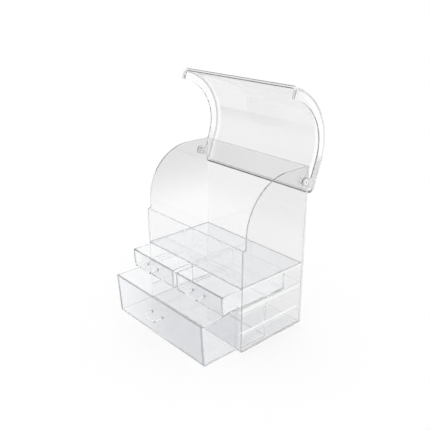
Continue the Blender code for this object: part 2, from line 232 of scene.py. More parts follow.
class Nodes:
    """Adds nodes to a material's or a world's tree and links them."""

    def __init__(self, tree):
        self.tree = tree

    def add(self, kind, **settings):
        node = self.tree.nodes.new(kind)
        for name, value in settings.items():
            setattr(node, name, value)
        return node

    def link(self, source, target):
        self.tree.links.new(source, target)

    def math(self, operation, first, second=None):
        node = self.add("ShaderNodeMath", operation=operation)
        for socket, value in zip(node.inputs, (first, second)):
            if value is None:
                continue
            if isinstance(value, (int, float)):
                socket.default_value = value
            else:
                self.link(value, socket)
        return node.outputs[0]

    def spread(self, value, low_in, high_in, low_out, high_out):
        """Map a value smoothly from one range to another."""
        node = self.add("ShaderNodeMapRange", interpolation_type="SMOOTHSTEP")
        self.link(value, node.inputs["Value"])
        node.inputs["From Min"].default_value = low_in
        node.inputs["From Max"].default_value = high_in
        node.inputs["To Min"].default_value = low_out
        node.inputs["To Max"].default_value = high_out
        return node.outputs[0]

    def noise(self, vector, scale, detail=2.0, roughness=0.5):
        node = self.add("ShaderNodeTexNoise")
        self.link(vector, node.inputs["Vector"])
        node.inputs["Scale"].default_value = scale
        node.inputs["Detail"].default_value = detail
        node.inputs["Roughness"].default_value = roughness
        return node.outputs["Fac"]

    def mix(self, mask, below, above):
        """Lay one colour over another where the mask is 1."""
        node = self.add("ShaderNodeMix", data_type="RGBA")
        self.link(mask, node.inputs["Factor"])
        for name, colour in (("A", below), ("B", above)):
            if isinstance(colour, tuple):
                node.inputs[name].default_value = (*colour, 1)
            else:
                self.link(colour, node.inputs[name])
        return node.outputs["Result"]

    def axes(self, vector):
        """Return a vector's three parts."""
        node = self.add("ShaderNodeSeparateXYZ")
        self.link(vector, node.inputs[0])
        return node.outputs[:]

    def size(self, value):
        return self.math("ABSOLUTE", value)

    def minus(self, value, amount):
        return self.math("SUBTRACT", value, amount)

    def above(self, value, level, soft):
        """Return 1 where a value is over a level and 0 under it, with a step soft to each side of it."""
        return self.spread(value, level - soft, level + soft, 0.0, 1.0)

    def below(self, value, level, soft):
        """Return 1 where a value is under a level and 0 over it."""
        return self.spread(value, level - soft, level + soft, 1.0, 0.0)

    def both(self, first, second):
        """Return where two masks overlap."""
        return self.math("MULTIPLY", first, second)

    def either(self, first, second):
        """Return where one of two masks or both are."""
        return self.math("MAXIMUM", first, second)


def closed_lid_space(nodes, place, normal):
    """Turn a place and a normal on the open lid back to where they are on the closed one."""
    turned = []
    for vector, origin in ((place, PIVOT), (normal, Vector())):
        node = nodes.add("ShaderNodeMapping", vector_type="TEXTURE")
        nodes.link(vector, node.inputs["Vector"])
        node.inputs["Location"].default_value = origin
        node.inputs["Rotation"].default_value = (-LID_OPEN, 0, 0)
        turned.append(node.outputs["Vector"])
    back = nodes.add("ShaderNodeVectorMath", operation="ADD")
    nodes.link(turned[0], back.inputs[0])
    back.inputs[1].default_value = PIVOT
    return back.outputs["Vector"], turned[1]


def tinted(nodes, place, normal, noise_scale, dark, light, layers):
    """Return the tint that a slow noise moves between dark and light, with its layers laid over it."""
    tint = nodes.mix(nodes.noise(place, noise_scale), dark, light)
    if layers:
        for mask, colour in layers(nodes, place, normal):
            tint = nodes.mix(mask, tint, colour)
    return tint


def acrylic(name, dark, light, layers=None, haze=None, milk=0.0, lamp_share=LAMP_SHARE):
    """Return a clear acrylic material.

    dark and light are the tints that a slow noise moves between. layers is a
    function of (nodes, place, normal), both in the object's own axes, that
    returns (mask, tint) pairs to lay over them. haze is such a function that
    returns more roughness. milk is the share of light that its faces scatter,
    and lamp_share how much of a lamp's light passes one of them.
    """
    material = bpy.data.materials.new(name)
    material.use_nodes = True
    material.node_tree.nodes.clear()
    nodes = Nodes(material.node_tree)
    texture_space = nodes.add("ShaderNodeTexCoord")
    place = texture_space.outputs["Object"]
    normal = texture_space.outputs["Normal"]

    roughness = nodes.spread(nodes.noise(place, SMUDGE_NOISE, 5.0, 0.6), 0.45, 0.75, 0.0, SMUDGE)
    if haze:
        roughness = nodes.math("ADD", roughness, haze(nodes, place, normal))
    ripple = nodes.add("ShaderNodeBump")
    ripple.inputs["Strength"].default_value = RIPPLE_STRENGTH
    ripple.inputs["Distance"].default_value = RIPPLE_HEIGHT
    nodes.link(nodes.noise(place, RIPPLE_NOISE, 1.0), ripple.inputs["Height"])

    body = nodes.add("ShaderNodeBsdfPrincipled")
    body.inputs["Transmission Weight"].default_value = 1.0 - milk
    body.inputs["IOR"].default_value = ACRYLIC_IOR
    nodes.link(tinted(nodes, place, normal, TINT_NOISE, dark, light, layers), body.inputs["Base Color"])
    nodes.link(roughness, body.inputs["Roughness"])
    nodes.link(ripple.outputs["Normal"], body.inputs["Normal"])

    # Lamps, and the light that paper and milky faces gather, pass straight through
    clear = nodes.add("ShaderNodeBsdfTransparent")
    clear.inputs["Color"].default_value = (lamp_share, lamp_share, lamp_share, 1)
    path = nodes.add("ShaderNodeLightPath")
    surface = body
    for ray in ("Is Diffuse Ray", "Is Shadow Ray"):
        blend = nodes.add("ShaderNodeMixShader")
        nodes.link(path.outputs[ray], blend.inputs["Fac"])
        nodes.link(surface.outputs[0], blend.inputs[1])
        nodes.link(clear.outputs[0], blend.inputs[2])
        surface = blend
    output = nodes.add("ShaderNodeOutputMaterial")
    nodes.link(surface.outputs[0], output.inputs["Surface"])
    return material


def cloudy(name, clear_share, layers=None, clear_mask=None):
    """Return the look of cloudy acrylic: white gloss that lets a share of the light straight through. On the
    guide rails' edges, the handles and the right seams its white is a painted highlight.

    clear_mask is a function of (nodes, place) that returns such a share for every place instead.
    """
    material = bpy.data.materials.new(name)
    material.use_nodes = True
    nodes = Nodes(material.node_tree)
    texture_space = nodes.add("ShaderNodeTexCoord")
    place = texture_space.outputs["Object"]
    body = material.node_tree.nodes["Principled BSDF"]
    body.inputs["IOR"].default_value = ACRYLIC_IOR
    tint = tinted(nodes, place, texture_space.outputs["Normal"], CLOUD_NOISE, CLOUD_DARK, CLOUD_LIGHT, layers)
    nodes.link(tint, body.inputs["Base Color"])
    roughness = nodes.spread(nodes.noise(place, GLOSS_NOISE, 3.0), 0.3, 0.7, *GLOSS_ROUGHNESS)
    nodes.link(roughness, body.inputs["Roughness"])
    blend = nodes.add("ShaderNodeMixShader")
    blend.inputs["Fac"].default_value = clear_share
    if clear_mask:
        nodes.link(clear_mask(nodes, place), blend.inputs["Fac"])
    nodes.link(body.outputs[0], blend.inputs[1])
    nodes.link(nodes.add("ShaderNodeBsdfTransparent").outputs[0], blend.inputs[2])
    nodes.link(blend.outputs[0], material.node_tree.nodes["Material Output"].inputs["Surface"])
    return material


def sheet_layers(thin_axis, edge, upper=None, lower=None, rear_edge=None, edge_from=-10 * MM,
                 reflection_span=PANEL_REFLECTION_SPAN):
    """Return the layers of a flat panel: its upper part, darkened upward with painted reflection, its lower
    part, its edges with painted shade, and its foot with painted contact shadow.

    The edges take their tint above edge_from only, and the rear one its own where rear_edge is given.
    """
    def layers(nodes, place, normal):
        y, z = nodes.axes(place)[1:]
        found = []
        if upper:
            # Painted reflection: the panel's upper part darkens upward
            found.append((nodes.spread(z, *reflection_span, 0.0, 1.0), upper))
        if lower:
            found.append((nodes.below(z, TRAY_FLOOR, 3 * MM), lower))
        # Painted shade along the edges, where the eye looks along the sheet; the rear edge can take its own
        # painted shade
        rim = nodes.below(nodes.size(nodes.axes(normal)[thin_axis]), EDGE_FACING, FACING_SOFT)
        found.append((nodes.both(rim, nodes.above(z, edge_from, 2 * MM)), edge))
        if rear_edge:
            rear = nodes.above(y, -CABINET_FRONT - 1 * MM, 0.5 * MM)
            found.append((nodes.both(rim, rear), rear_edge))
        # Painted contact shadow along the foot of the upright faces
        upright = nodes.below(nodes.size(nodes.axes(normal)[2]), UPRIGHT_FACING, FACING_SOFT)
        foot = nodes.both(upright, nodes.below(z, PANEL_FOOT, 0.2 * MM))
        return found + [(foot, PANEL_FOOT_SHADOW)]
    return layers


def tray_floor_layers(nodes, place, normal):
    """Return the layers of the tray's floor: its front edge, darkened with painted shade, and a line where it
    meets the other panels.
    """
    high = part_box("top_shelf")[1]
    x, y = nodes.axes(place)[:2]
    line = nodes.either(
        nodes.above(nodes.size(x), high.x - TRAY_LINE, 0.2 * MM),
        nodes.above(y, high.y - TRAY_LINE, 0.2 * MM),
    )
    # Painted shade on the front edge
    front = nodes.below(nodes.axes(normal)[1], TRAY_FRONT_FACING, FACING_SOFT)
    return [(front, TRAY_FRONT_SHADE), (line, TRAY_LINE_TINT)]


def drawer_layers(node, front, side, corner_width):
    """Return the layers of a drawer: its front, darkened towards the right with painted shade, its right
    side, its front's rim and corners, darkened with painted shade, and its foot, darkened with painted
    shadow.
    """
    low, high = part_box(node)
    middle = (low.x + high.x) / 2
    corner = (high.x - low.x) / 2 - corner_width

    def layers(nodes, place, normal):
        x, y, z = nodes.axes(place)
        out, up = nodes.axes(normal)[1:]
        faces_out = nodes.both(
            nodes.below(out, DRAWER_FRONT_FACING, FACING_SOFT),
            nodes.below(y, low.y + DRAWER_FRONT_DEPTH, 1 * MM),
        )
        # Painted shade: the front darkens from its left end towards its right
        darker = nodes.spread(x, low.x, high.x - DRAWER_PALE_END, 0.2, 1.0)
        outer_side = nodes.both(
            nodes.above(x, high.x - 0.3 * MM, 0.1 * MM),
            nodes.below(y, CABINET_FRONT, 2 * MM),
        )
        # Painted shade along the front's rim and its upright corners
        rim = nodes.both(
            nodes.above(z, high.z - DRAWER_RIM, 0.3 * MM),
            nodes.below(y, low.y + DRAWER_RIM_DEPTH, 0.3 * MM),
        )
        from_middle = nodes.size(nodes.minus(x, middle))
        upright = nodes.both(faces_out, nodes.above(from_middle, corner, 0.8 * MM))
        # Painted contact shadow along the foot
        foot = nodes.both(
            nodes.below(nodes.size(up), UPRIGHT_FACING, FACING_SOFT),
            nodes.below(z, low.z + DRAWER_FOOT, 0.3 * MM),
        )
        return [
            (nodes.both(faces_out, darker), front),
            (outer_side, side),
            (rim, DRAWER_RIM_SHADE),
            (upright, DRAWER_CORNER_SHADE),
            (foot, DRAWER_FOOT_SHADOW),
        ]
    return layers


def rail_clearness(node):
    """Return a mask of how clear a guide rail is: clear along its middle, white along its edges as painted
    glints.
    """
    low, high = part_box(node)

    def mask(nodes, place):
        from_middle = nodes.size(nodes.minus(nodes.axes(place)[2], (low.z + high.z) / 2))
        return nodes.spread(from_middle, RAIL_MIDDLE, RAIL_MIDDLE + RAIL_SOFT, RAIL_CLEAR, RAIL_GLINT_CLEAR)
    return mask


def handle_layers(nodes, place, normal):
    """Return a handle's layers: painted shade on its underside, and painted dark reflections in its bends and
    roots.
    """
    x, y = nodes.axes(place)[:2]
    # Painted shade on the underside, painted dark reflections in the bends and roots
    under = nodes.below(nodes.axes(normal)[2], UNDERSIDE_FACING, 0.3)
    bend = nodes.both(
        nodes.above(nodes.size(x), HANDLE_SPAN / 2 - 0.6 * MM, 0.6 * MM),
        nodes.below(y, -HANDLE_REACH + 1.2 * MM, 0.8 * MM),
    )
    root = nodes.above(y, -HANDLE_FOOT, 0.5 * MM)
    return [(under, HANDLE_UNDERSIDE_SHADE), (bend, HANDLE_DARK_REFLECTION), (root, HANDLE_DARK_REFLECTION)]


def pin_layers(nodes, place, normal):
    """Return a hinge pin's layers: a spot of painted shade in the middle of its head."""
    y, z = nodes.axes(place)[1:]
    beside = nodes.minus(y, PIVOT.y)
    over = nodes.minus(z, PIVOT.z)
    from_axis = nodes.math("SQRT", nodes.math("ADD", nodes.both(beside, beside), nodes.both(over, over)))
    return [(nodes.below(from_axis, PIN_SHADE_SPOT, 0.4 * MM), PIN_SHADE_SPOT_TINT)]


def lid_layers(nodes, place, normal):
    """Return the lid's layers: a darker band of painted reflection, the sheet painted lighter over the
    flanges, painted shade along their edges, and painted shade along the rear lip's edge.
    """
    place, normal = closed_lid_space(nodes, place, normal)
    x, y, z = nodes.axes(place)
    out, up = nodes.axes(normal)[1:]
    # Painted reflection: a darker band across the sheet, deeper to the left
    past_band = nodes.both(
        nodes.above(y, LID_REFLECTION_BAND, 1.5 * MM),
        nodes.spread(y, LID_REFLECTION_BAND, LID_REFLECTION_BAND + LID_REFLECTION_BAND_WIDTH, 1.0, 0.0),
    )
    band = nodes.both(past_band, nodes.spread(x, -LID_HALF_WIDTH, LID_HALF_WIDTH, 1.0, 0.4))
    # Painted light: the sheet is lighter over the flanges
    flange = nodes.either(
        nodes.above(x, LID_PAINTED_LIGHT_RIGHT, 3 * MM),
        nodes.below(x, LID_PAINTED_LIGHT_LEFT, 4 * MM),
    )
    outward = nodes.math(
        "ADD",
        nodes.both(out, nodes.minus(y, LID_FRONT + LID_CURVE)),
        nodes.both(up, nodes.minus(z, LID_TOP - LID_CURVE)),
    )
    # Painted shade along the edges that face the curve's middle, lighter on the left, and along the rear lip
    edge = nodes.both(
        nodes.below(outward, -INNER_EDGE_RADIUS, 5 * MM),
        nodes.above(nodes.size(x), LID_HALF_WIDTH - LID_THICK + 0.05 * MM, 0.02 * MM),
    )
    left_edge = nodes.both(edge, nodes.below(x, 0, 1 * MM))
    lip = nodes.both(
        nodes.below(up, LIP_FACING, FACING_SOFT),
        nodes.above(y, LID_BACK - LID_THICK - 1 * MM, 0.5 * MM),
    )
    return [
        (band, LID_REFLECTION_BAND_TINT),
        (flange, CLEAR),
        (edge, LID_EDGE_SHADE),
        (left_edge, LID_LEFT_EDGE_SHADE),
        (lip, LID_LINE_SHADE),
    ]


def flange_layers(nodes, place, normal):
    """Return the layers of the lid's flanges: painted shade deepening towards their ears, the right one above
    all.
    """
    x, y = nodes.axes(closed_lid_space(nodes, place, normal)[0])[:2]
    # Painted shade towards the ears
    ear = nodes.above(y, LID_EAR, LID_EAR_SOFT)
    depth = nodes.spread(x, -LID_HALF_WIDTH, LID_HALF_WIDTH, 0.35, 1.0)
    return [(nodes.both(ear, depth), LID_EAR_SHADE)]


def lid_haze(nodes, place, normal):
    """Return the haze of the lid's bent long edges, which were stretched in moulding."""
    slant = nodes.size(nodes.axes(normal)[0])
    return nodes.both(
        nodes.spread(slant, 0.1, 0.35, 0.0, BEND_HAZE),
        nodes.spread(slant, 0.9, 0.99, 1.0, 0.0),
    )


def rim_layers(nodes, place, normal):
    """Return the layers of the lid's front rim: a line of painted shade along its outer and its inner edge.
    """
    place, normal = closed_lid_space(nodes, place, normal)
    x, y = nodes.axes(place)[:2]
    from_middle = nodes.size(x)
    end_face = nodes.below(nodes.axes(normal)[2], RIM_END_FACING, 0.2)
    inner_y = LID_FRONT + LID_THICK + BEAD_IN
    inner_x = LID_HALF_WIDTH - LID_THICK - BEAD_IN
    # Painted shade: lines along the rim's outer, inner and end edges
    outer_line = nodes.either(
        nodes.below(y, LID_FRONT - BEAD_OUT + BEAD_LINE, BEAD_LINE_SOFT),
        nodes.above(from_middle, LID_HALF_WIDTH + BEAD_OUT - BEAD_LINE, BEAD_LINE_SOFT),
    )
    inner_line = nodes.both(
        nodes.below(from_middle, inner_x - 2 * MM, 0.5 * MM),
        nodes.above(y, inner_y - BEAD_LINE, BEAD_LINE_SOFT),
    )
    end_line = nodes.both(
        nodes.below(from_middle, inner_x + 0.6 * BEAD_LINE, BEAD_LINE_SOFT),
        nodes.above(y, inner_y + 1 * MM, 0.5 * MM),
    )
    return [
        (nodes.both(end_face, outer_line), RIM_LINE_SHADE),
        (nodes.both(end_face, inner_line), LID_LINE_SHADE),
        (nodes.both(end_line, nodes.above(x, 0, 1 * MM)), LID_EDGE_SHADE),
        (nodes.both(end_line, nodes.below(x, 0, 1 * MM)), LID_LEFT_EDGE_SHADE),
    ]


def dress(names, material):
    """Give carried-over CAD nodes a material."""
    for name in names:
        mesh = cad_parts[name].data
        mesh.materials.clear()
        mesh.materials.append(material)


def dress_panels():
    """Give the cabinet's upright panels their materials."""
    # The side panels are lit and shaded copies of one acrylic: their sheet, upper and edge tints differ as
    # painted light and shade
    dress(["side_panel_left"], acrylic(
        "side_acrylic_left", (0.965, 0.965, 0.967), (0.975, 0.975, 0.977),
        sheet_layers(0, edge=(0.6, 0.6, 0.62), edge_from=120 * MM, rear_edge=CLEAR,
                     upper=(0.76, 0.76, 0.763), lower=CLEAR)))
    dress(["side_panel_right"], acrylic(
        "side_acrylic_right", (0.942, 0.942, 0.944), (0.952, 0.952, 0.954),
        sheet_layers(0, edge=(0.72, 0.72, 0.74), rear_edge=REAR_EDGE_SHADE,
                     upper=(0.92, 0.92, 0.923), lower=(0.97, 0.97, 0.975))))
    dress(["back_panel"], acrylic(
        "back_acrylic", (0.93, 0.93, 0.931), (0.945, 0.945, 0.946),
        sheet_layers(1, edge=(0.95, 0.95, 0.955), upper=(0.87, 0.87, 0.871), reflection_span=BACK_REFLECTION_SPAN,
                     lower=(0.877, 0.877, 0.878))))
    dress(["front_wall"], acrylic(
        "front_acrylic", (0.965, 0.965, 0.97), (0.975, 0.975, 0.98),
        sheet_layers(1, edge=(0.75, 0.76, 0.79))))
    dress(["drawer_divider"], acrylic(
        "divider_acrylic", CLEAR, (0.99, 0.99, 0.99), sheet_layers(0, edge=(0.8, 0.81, 0.82))))


def dress_levels():
    """Give the tray's floor, the shelf, the base and the guide rails their materials."""
    dress(["top_shelf"], acrylic(
        "tray_floor_acrylic", (0.885, 0.89, 0.902), (0.905, 0.91, 0.918), tray_floor_layers,
        milk=TRAY_MILK, lamp_share=LEVEL_LAMP_SHARE))
    dress(["middle_shelf"], acrylic(
        "shelf_acrylic", (0.99, 0.992, 0.993), (0.995, 0.996, 0.997),
        sheet_layers(2, edge=SHELF_EDGE_SHADE), lamp_share=LEVEL_LAMP_SHARE))
    dress(["base_panel"], acrylic(
        "base_acrylic", (0.83, 0.835, 0.84), (0.85, 0.855, 0.86),
        sheet_layers(2, edge=SHELF_EDGE_SHADE), lamp_share=LEVEL_LAMP_SHARE))
    for level in ("lower", "upper"):
        names = [f"guide_rail_{side}_{level}" for side in ("left", "right")]
        rail_acrylic = cloudy("rail_acrylic_" + level, RAIL_GLINT_CLEAR, clear_mask=rail_clearness(names[0]))
        dress(names, rail_acrylic)


def dress_drawers():
    """Give the drawers their materials."""
    # The drawer fronts' tints are painted shade, set for each drawer on its own
    layers = drawer_layers("large_drawer_box", (0.74, 0.745, 0.765), (0.82, 0.83, 0.85), LARGE_CORNER)
    dress(["large_drawer_box"], acrylic(
        "large_drawer_acrylic", (0.975, 0.981, 0.99), (0.985, 0.989, 0.995), layers,
        lamp_share=DRAWER_LAMP_SHARE))
    for side, front in (("left", (0.87, 0.88, 0.89)), ("right", (0.86, 0.865, 0.88))):
        node = "small_drawer_box_" + side
        dress([node], acrylic(
            "small_drawer_acrylic_" + side, (0.985, 0.99, 0.996), (0.99, 0.993, 0.998),
            drawer_layers(node, front, CLEAR, SMALL_DRAWER_CORNER),
            milk=SMALL_DRAWER_MILK, lamp_share=DRAWER_LAMP_SHARE))


def dress_hinges():
    """Give the pins, washers and retaining rings their materials."""
    dress(["hinge_pin_left", "hinge_pin_right"], cloudy("pin_acrylic", PIN_CLEAR, pin_layers))
    rings = [f"hinge_{part}_{side}" for part in ("washer", "retainer") for side in ("left", "right")]
    dress(rings, acrylic("hinge_acrylic", (0.9, 0.91, 0.92), (0.94, 0.945, 0.95)))


def mesh_from(name, bm, smooth_angle=SMOOTH_ANGLE):
    """Turn a bmesh into a mesh with outward faces, shaded smooth up to an angle between them."""
    bmesh.ops.recalc_face_normals(bm, faces=bm.faces)
    if bm.calc_volume(signed=True) < 0:
        bmesh.ops.reverse_faces(bm, faces=bm.faces)
    mesh = bpy.data.meshes.new(name)
    bm.to_mesh(mesh)
    bm.free()
    mesh.shade_smooth()
    mesh.set_sharp_from_angle(angle=smooth_angle)
    return mesh


def add_piece(name, mesh, *materials):
    """Add a piece whose shading follows its large faces."""
    piece = bpy.data.objects.new(name, mesh)
    bpy.context.scene.collection.objects.link(piece)
    shading = piece.modifiers.new("shading", "WEIGHTED_NORMAL")
    shading.keep_sharp = True
    shading.weight = 100
    for material in materials:
        mesh.materials.append(material)
    return piece


def turns(count):
    """Return the angles of a circle's points."""
    return [2 * math.pi * index / count for index in range(count)]


def fillet(before, corner, after, radius):
    """Return the points of an arc of the given radius that rounds a corner."""
    behind = Vector((before[0] - corner[0], before[1] - corner[1])).normalized()
    ahead = Vector((after[0] - corner[0], after[1] - corner[1])).normalized()
    half_opening = math.acos(behind.dot(ahead)) / 2
    corner = Vector(corner)
    centre = corner + (behind + ahead).normalized() * radius / math.sin(half_opening)
    start = corner + behind * radius / math.tan(half_opening) - centre
    end = corner + ahead * radius / math.tan(half_opening) - centre
    first = math.atan2(start.y, start.x)
    turn = (math.atan2(end.y, end.x) - first + math.pi) % (2 * math.pi) - math.pi
    steps = max(4, math.ceil(abs(turn) / ARC_STEP))
    angles = [first + turn * step / steps for step in range(steps + 1)]
    return [(centre.x + radius * math.cos(a), centre.y + radius * math.sin(a)) for a in angles]


def rounded_outline(corners):
    """Return the points of a closed outline given as (first, second, radius) corners."""
    points = []
    for index, (y, z, radius) in enumerate(corners):
        before = corners[index - 1][:2]
        after = corners[(index + 1) % len(corners)][:2]
        points += fillet(before, (y, z), after, radius) if radius else [(y, z)]
    return points


def prism(low_ring, high_ring):
    """Return a bmesh of two matching rings of points, joined and closed."""
    bm = bmesh.new()
    rims = [[bm.verts.new(point) for point in ring] for ring in (low_ring, high_ring)]
    bm.faces.new(reversed(rims[0]))
    bm.faces.new(rims[1])
    for index in range(len(low_ring)):
        after = (index + 1) % len(low_ring)
        bm.faces.new((rims[0][index], rims[0][after], rims[1][after], rims[1][index]))
    bmesh.ops.recalc_face_normals(bm, faces=bm.faces)
    return bm


def along_x(outline, low_x, high_x, round_points=0, round_radius=0):
    """Return a bmesh of a (y, z) outline extruded along X, the rims of its first points rounded."""
    bm = prism([(low_x, y, z) for y, z in outline], [(high_x, y, z) for y, z in outline])
    if round_points:
        bm.verts.ensure_lookup_table()
        count = len(outline)
        rounded = [
            bm.edges.get((bm.verts[start + index], bm.verts[start + index + 1]))
            for start in (0, count) for index in range(round_points - 1)
        ]
        bmesh.ops.bevel(
            bm, geom=rounded, offset=round_radius, segments=BEND_SEGMENTS, profile=0.5,
            affect="EDGES", clamp_overlap=False)
    return bm


def lid_sheet_corners(inset):
    """Return the corners of the lid's sheet in side view, this far inside its outer face.

    A line inside it, which is a cutter's, goes on past the sheet's two ends.
    """
    front_end = LID_BOTTOM + BEAD_HEIGHT
    back_end = LID_LIP_BOTTOM
    if inset:
        front_end -= CUT_EXTRA
        back_end = PIVOT.z - CUT_EXTRA
    return [
        (LID_FRONT + inset, front_end, 0),
        (LID_FRONT + inset, LID_TOP - inset, LID_CURVE - inset),
        (LID_BACK - inset, LID_TOP - inset, LID_BACK_CURVE - inset),
        (LID_BACK - inset, back_end, 0),
    ]


def lid_solid():
    """Return the closed lid's outer shape, with the sheet's long edges rounded."""
    over = LID_BACK - FLANGE_END - PIVOT.y
    up = LID_LIP_BOTTOM - PIVOT.z
    touch = math.atan2(up, over) - math.acos(EAR_RADIUS / math.hypot(over, up))
    touch_y = PIVOT.y + EAR_RADIUS * math.cos(touch)
    touch_z = PIVOT.z + EAR_RADIUS * math.sin(touch)
    ear_z = PIVOT.z - EAR_RADIUS
    ear_y = touch_y + (ear_z - touch_z) * (PIVOT.y + over - touch_y) / (PIVOT.z + up - touch_z)
    ear_front = PIVOT.y - EAR_RADIUS
    rim_top = LID_TOP - LID_RIM
    rim_front = LID_FRONT + LID_RIM
    sheet = lid_sheet_corners(0)
    flange = [
        (LID_BACK - FLANGE_END, LID_LIP_BOTTOM, 0),
        (ear_y, ear_z, EAR_RADIUS),
        (ear_front, ear_z, EAR_RADIUS),
        (ear_front, rim_top, EAR_NOTCH),
        (rim_front, rim_top, LID_CURVE - LID_RIM),
        (rim_front, LID_BOTTOM + BEAD_HEIGHT, 0),
    ]
    outline = rounded_outline(sheet + flange)
    return along_x(outline, -LID_HALF_WIDTH, LID_HALF_WIDTH, len(rounded_outline(sheet)), LID_BEND)


def lid_hollow():
    """Return the cutter that leaves only the lid's sheet, flanges and rear lip."""
    sheet = lid_sheet_corners(LID_THICK)
    below = [
        (PIVOT.y - CUT_EXTRA, PIVOT.z - CUT_EXTRA, 0),
        (PIVOT.y - CUT_EXTRA, LID_BOTTOM - CUT_EXTRA, 0),
    ]
    inner_x = LID_HALF_WIDTH - LID_THICK
    sheet_points = len(rounded_outline(sheet))
    return along_x(rounded_outline(sheet + below), -inner_x, inner_x, sheet_points, LID_BEND - LID_THICK)


def lid_bead():
    """Return the thick rim round the lid's front edge and its flanges' ends."""
    outer_x = LID_HALF_WIDTH + BEAD_OUT
    inner_x = LID_HALF_WIDTH - LID_THICK - BEAD_IN
    outer_y = LID_FRONT - BEAD_OUT
    inner_y = LID_FRONT + LID_THICK + BEAD_IN
    end_y = LID_FRONT + LID_RIM
    outline = rounded_outline([
        (-outer_x, end_y, SMALL_CORNER),
        (-outer_x, outer_y, LID_BEND + BEAD_OUT),
        (outer_x, outer_y, LID_BEND + BEAD_OUT),
        (outer_x, end_y, SMALL_CORNER),
        (inner_x, end_y, SMALL_CORNER),
        (inner_x, inner_y, LID_BEND - LID_THICK - BEAD_IN),
        (-inner_x, inner_y, LID_BEND - LID_THICK - BEAD_IN),
        (-inner_x, end_y, SMALL_CORNER),
    ])
    low_z = LID_BOTTOM
    high_z = LID_BOTTOM + BEAD_HEIGHT - BEAD_GAP
    bm = prism([(x, y, low_z) for x, y in outline], [(x, y, high_z) for x, y in outline])
    ends = [edge for edge in bm.edges if edge.verts[0].co.z == edge.verts[1].co.z]
    bmesh.ops.bevel(
        bm, geom=ends, offset=BEAD_SOFT, segments=BEAD_SEGMENTS, profile=0.5,
        affect="EDGES", clamp_overlap=True)
    return bm


def combined(name, bm, others):
    """Return a bmesh of what a shape and its (operation, bmesh) partners make together."""
    piece = bpy.data.objects.new(name, mesh_from(name, bm))
    bpy.context.scene.collection.objects.link(piece)
    helpers = []
    for operation, other in others:
        helper = bpy.data.objects.new("helper", mesh_from("helper", other))
        bpy.context.scene.collection.objects.link(helper)
        helpers.append(helper)
        modifier = piece.modifiers.new(operation, "BOOLEAN")
        modifier.operation = operation
        modifier.solver = "EXACT"
        modifier.object = helper
    shape = bpy.data.meshes.new_from_object(piece.evaluated_get(bpy.context.evaluated_depsgraph_get()))
    for spare in (piece, *helpers):
        bpy.data.objects.remove(spare)
    result = bmesh.new()
    result.from_mesh(shape)
    return result


def add_lid():
    """Add the finely curved lid with its front rim, turned open about the hinge axis."""
    circle = [
        (PIVOT.y + PIN_HOLE_RADIUS * math.cos(turn), PIVOT.z + PIN_HOLE_RADIUS * math.sin(turn))
        for turn in turns(PIN_HOLE_SIDES)
    ]
    reach = LID_HALF_WIDTH + CUT_EXTRA
    sheet = combined("lid_blank", lid_solid(), (
        ("DIFFERENCE", lid_hollow()),
        ("DIFFERENCE", along_x(circle, -reach, reach)),
    ))
    for face in sheet.faces:
        face.material_index = int(abs(face.normal.x) > FLANGE_FACING)
    opened = Matrix.Translation(PIVOT) @ Matrix.Rotation(-LID_OPEN, 4, "X") @ Matrix.Translation(-PIVOT)
    sheet_acrylic = acrylic("lid_acrylic", LID_DARK, LID_LIGHT, lid_layers, haze=lid_haze)
    flange_acrylic = acrylic("flange_acrylic", CLEAR, (0.99, 0.992, 0.995), flange_layers, milk=FLANGE_MILK)
    for name, bm, materials in (
        ("lid_sheet", sheet, (sheet_acrylic, flange_acrylic)),
        ("lid_front_rim", lid_bead(), (cloudy("rim_acrylic", RIM_CLEAR, rim_layers),)),
    ):
        bm.transform(opened)
        piece = add_piece(name, mesh_from(name, bm), *materials)
        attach(piece, "lid")
        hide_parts("lid_shell")


def handle_route():
    """Return the (x, y, radius) points of a handle's middle line, from root to root."""
    half = HANDLE_SPAN / 2
    near = [(-half, -HANDLE_GAP, HANDLE_FOOT_RADIUS)]
    for step in range(HANDLE_FOOT_STEPS + 1):
        share = step / HANDLE_FOOT_STEPS
        y = -HANDLE_GAP - HANDLE_FOOT_EDGE - HANDLE_FOOT * share
        slimmer = (HANDLE_FOOT_RADIUS - HANDLE_RADIUS) * math.sin(share * math.pi / 2)
        near.append((-half, y, HANDLE_FOOT_RADIUS - slimmer))
    for step in range(HANDLE_BEND_STEPS + 1):
        turn = step / HANDLE_BEND_STEPS * math.pi / 2
        x = -half + HANDLE_BEND * (1 - math.cos(turn))
        near.append((x, -HANDLE_REACH + HANDLE_BEND * (1 - math.sin(turn)), HANDLE_RADIUS))
    return near + [(-x, y, radius) for x, y, radius in reversed(near)]


def handle_mesh(name):
    """Return a bow handle's mesh, its roots at y = 0 and its bar towards -Y."""
    bm = bmesh.new()
    route = handle_route()
    rings = []
    for index, (x, y, radius) in enumerate(route):
        before = route[max(index - 1, 0)]
        after = route[min(index + 1, len(route) - 1)]
        along = Vector((after[0] - before[0], after[1] - before[1], 0)).normalized()
        middle = Vector((x, y, 0))
        side = Vector((-along.y, along.x, 0)) * radius
        upward = Vector((0, 0, radius))
        rings.append([
            bm.verts.new(middle + side * math.cos(turn) + upward * math.sin(turn))
            for turn in turns(HANDLE_SIDES)
        ])
    for ring, following in zip(rings, rings[1:]):
        for corner in range(HANDLE_SIDES):
            after = (corner + 1) % HANDLE_SIDES
            bm.faces.new((ring[corner], ring[after], following[after], following[corner]))
    bm.faces.new(rings[0])
    bm.faces.new(rings[-1])
    return mesh_from(name, bm, HANDLE_SMOOTH_ANGLE)


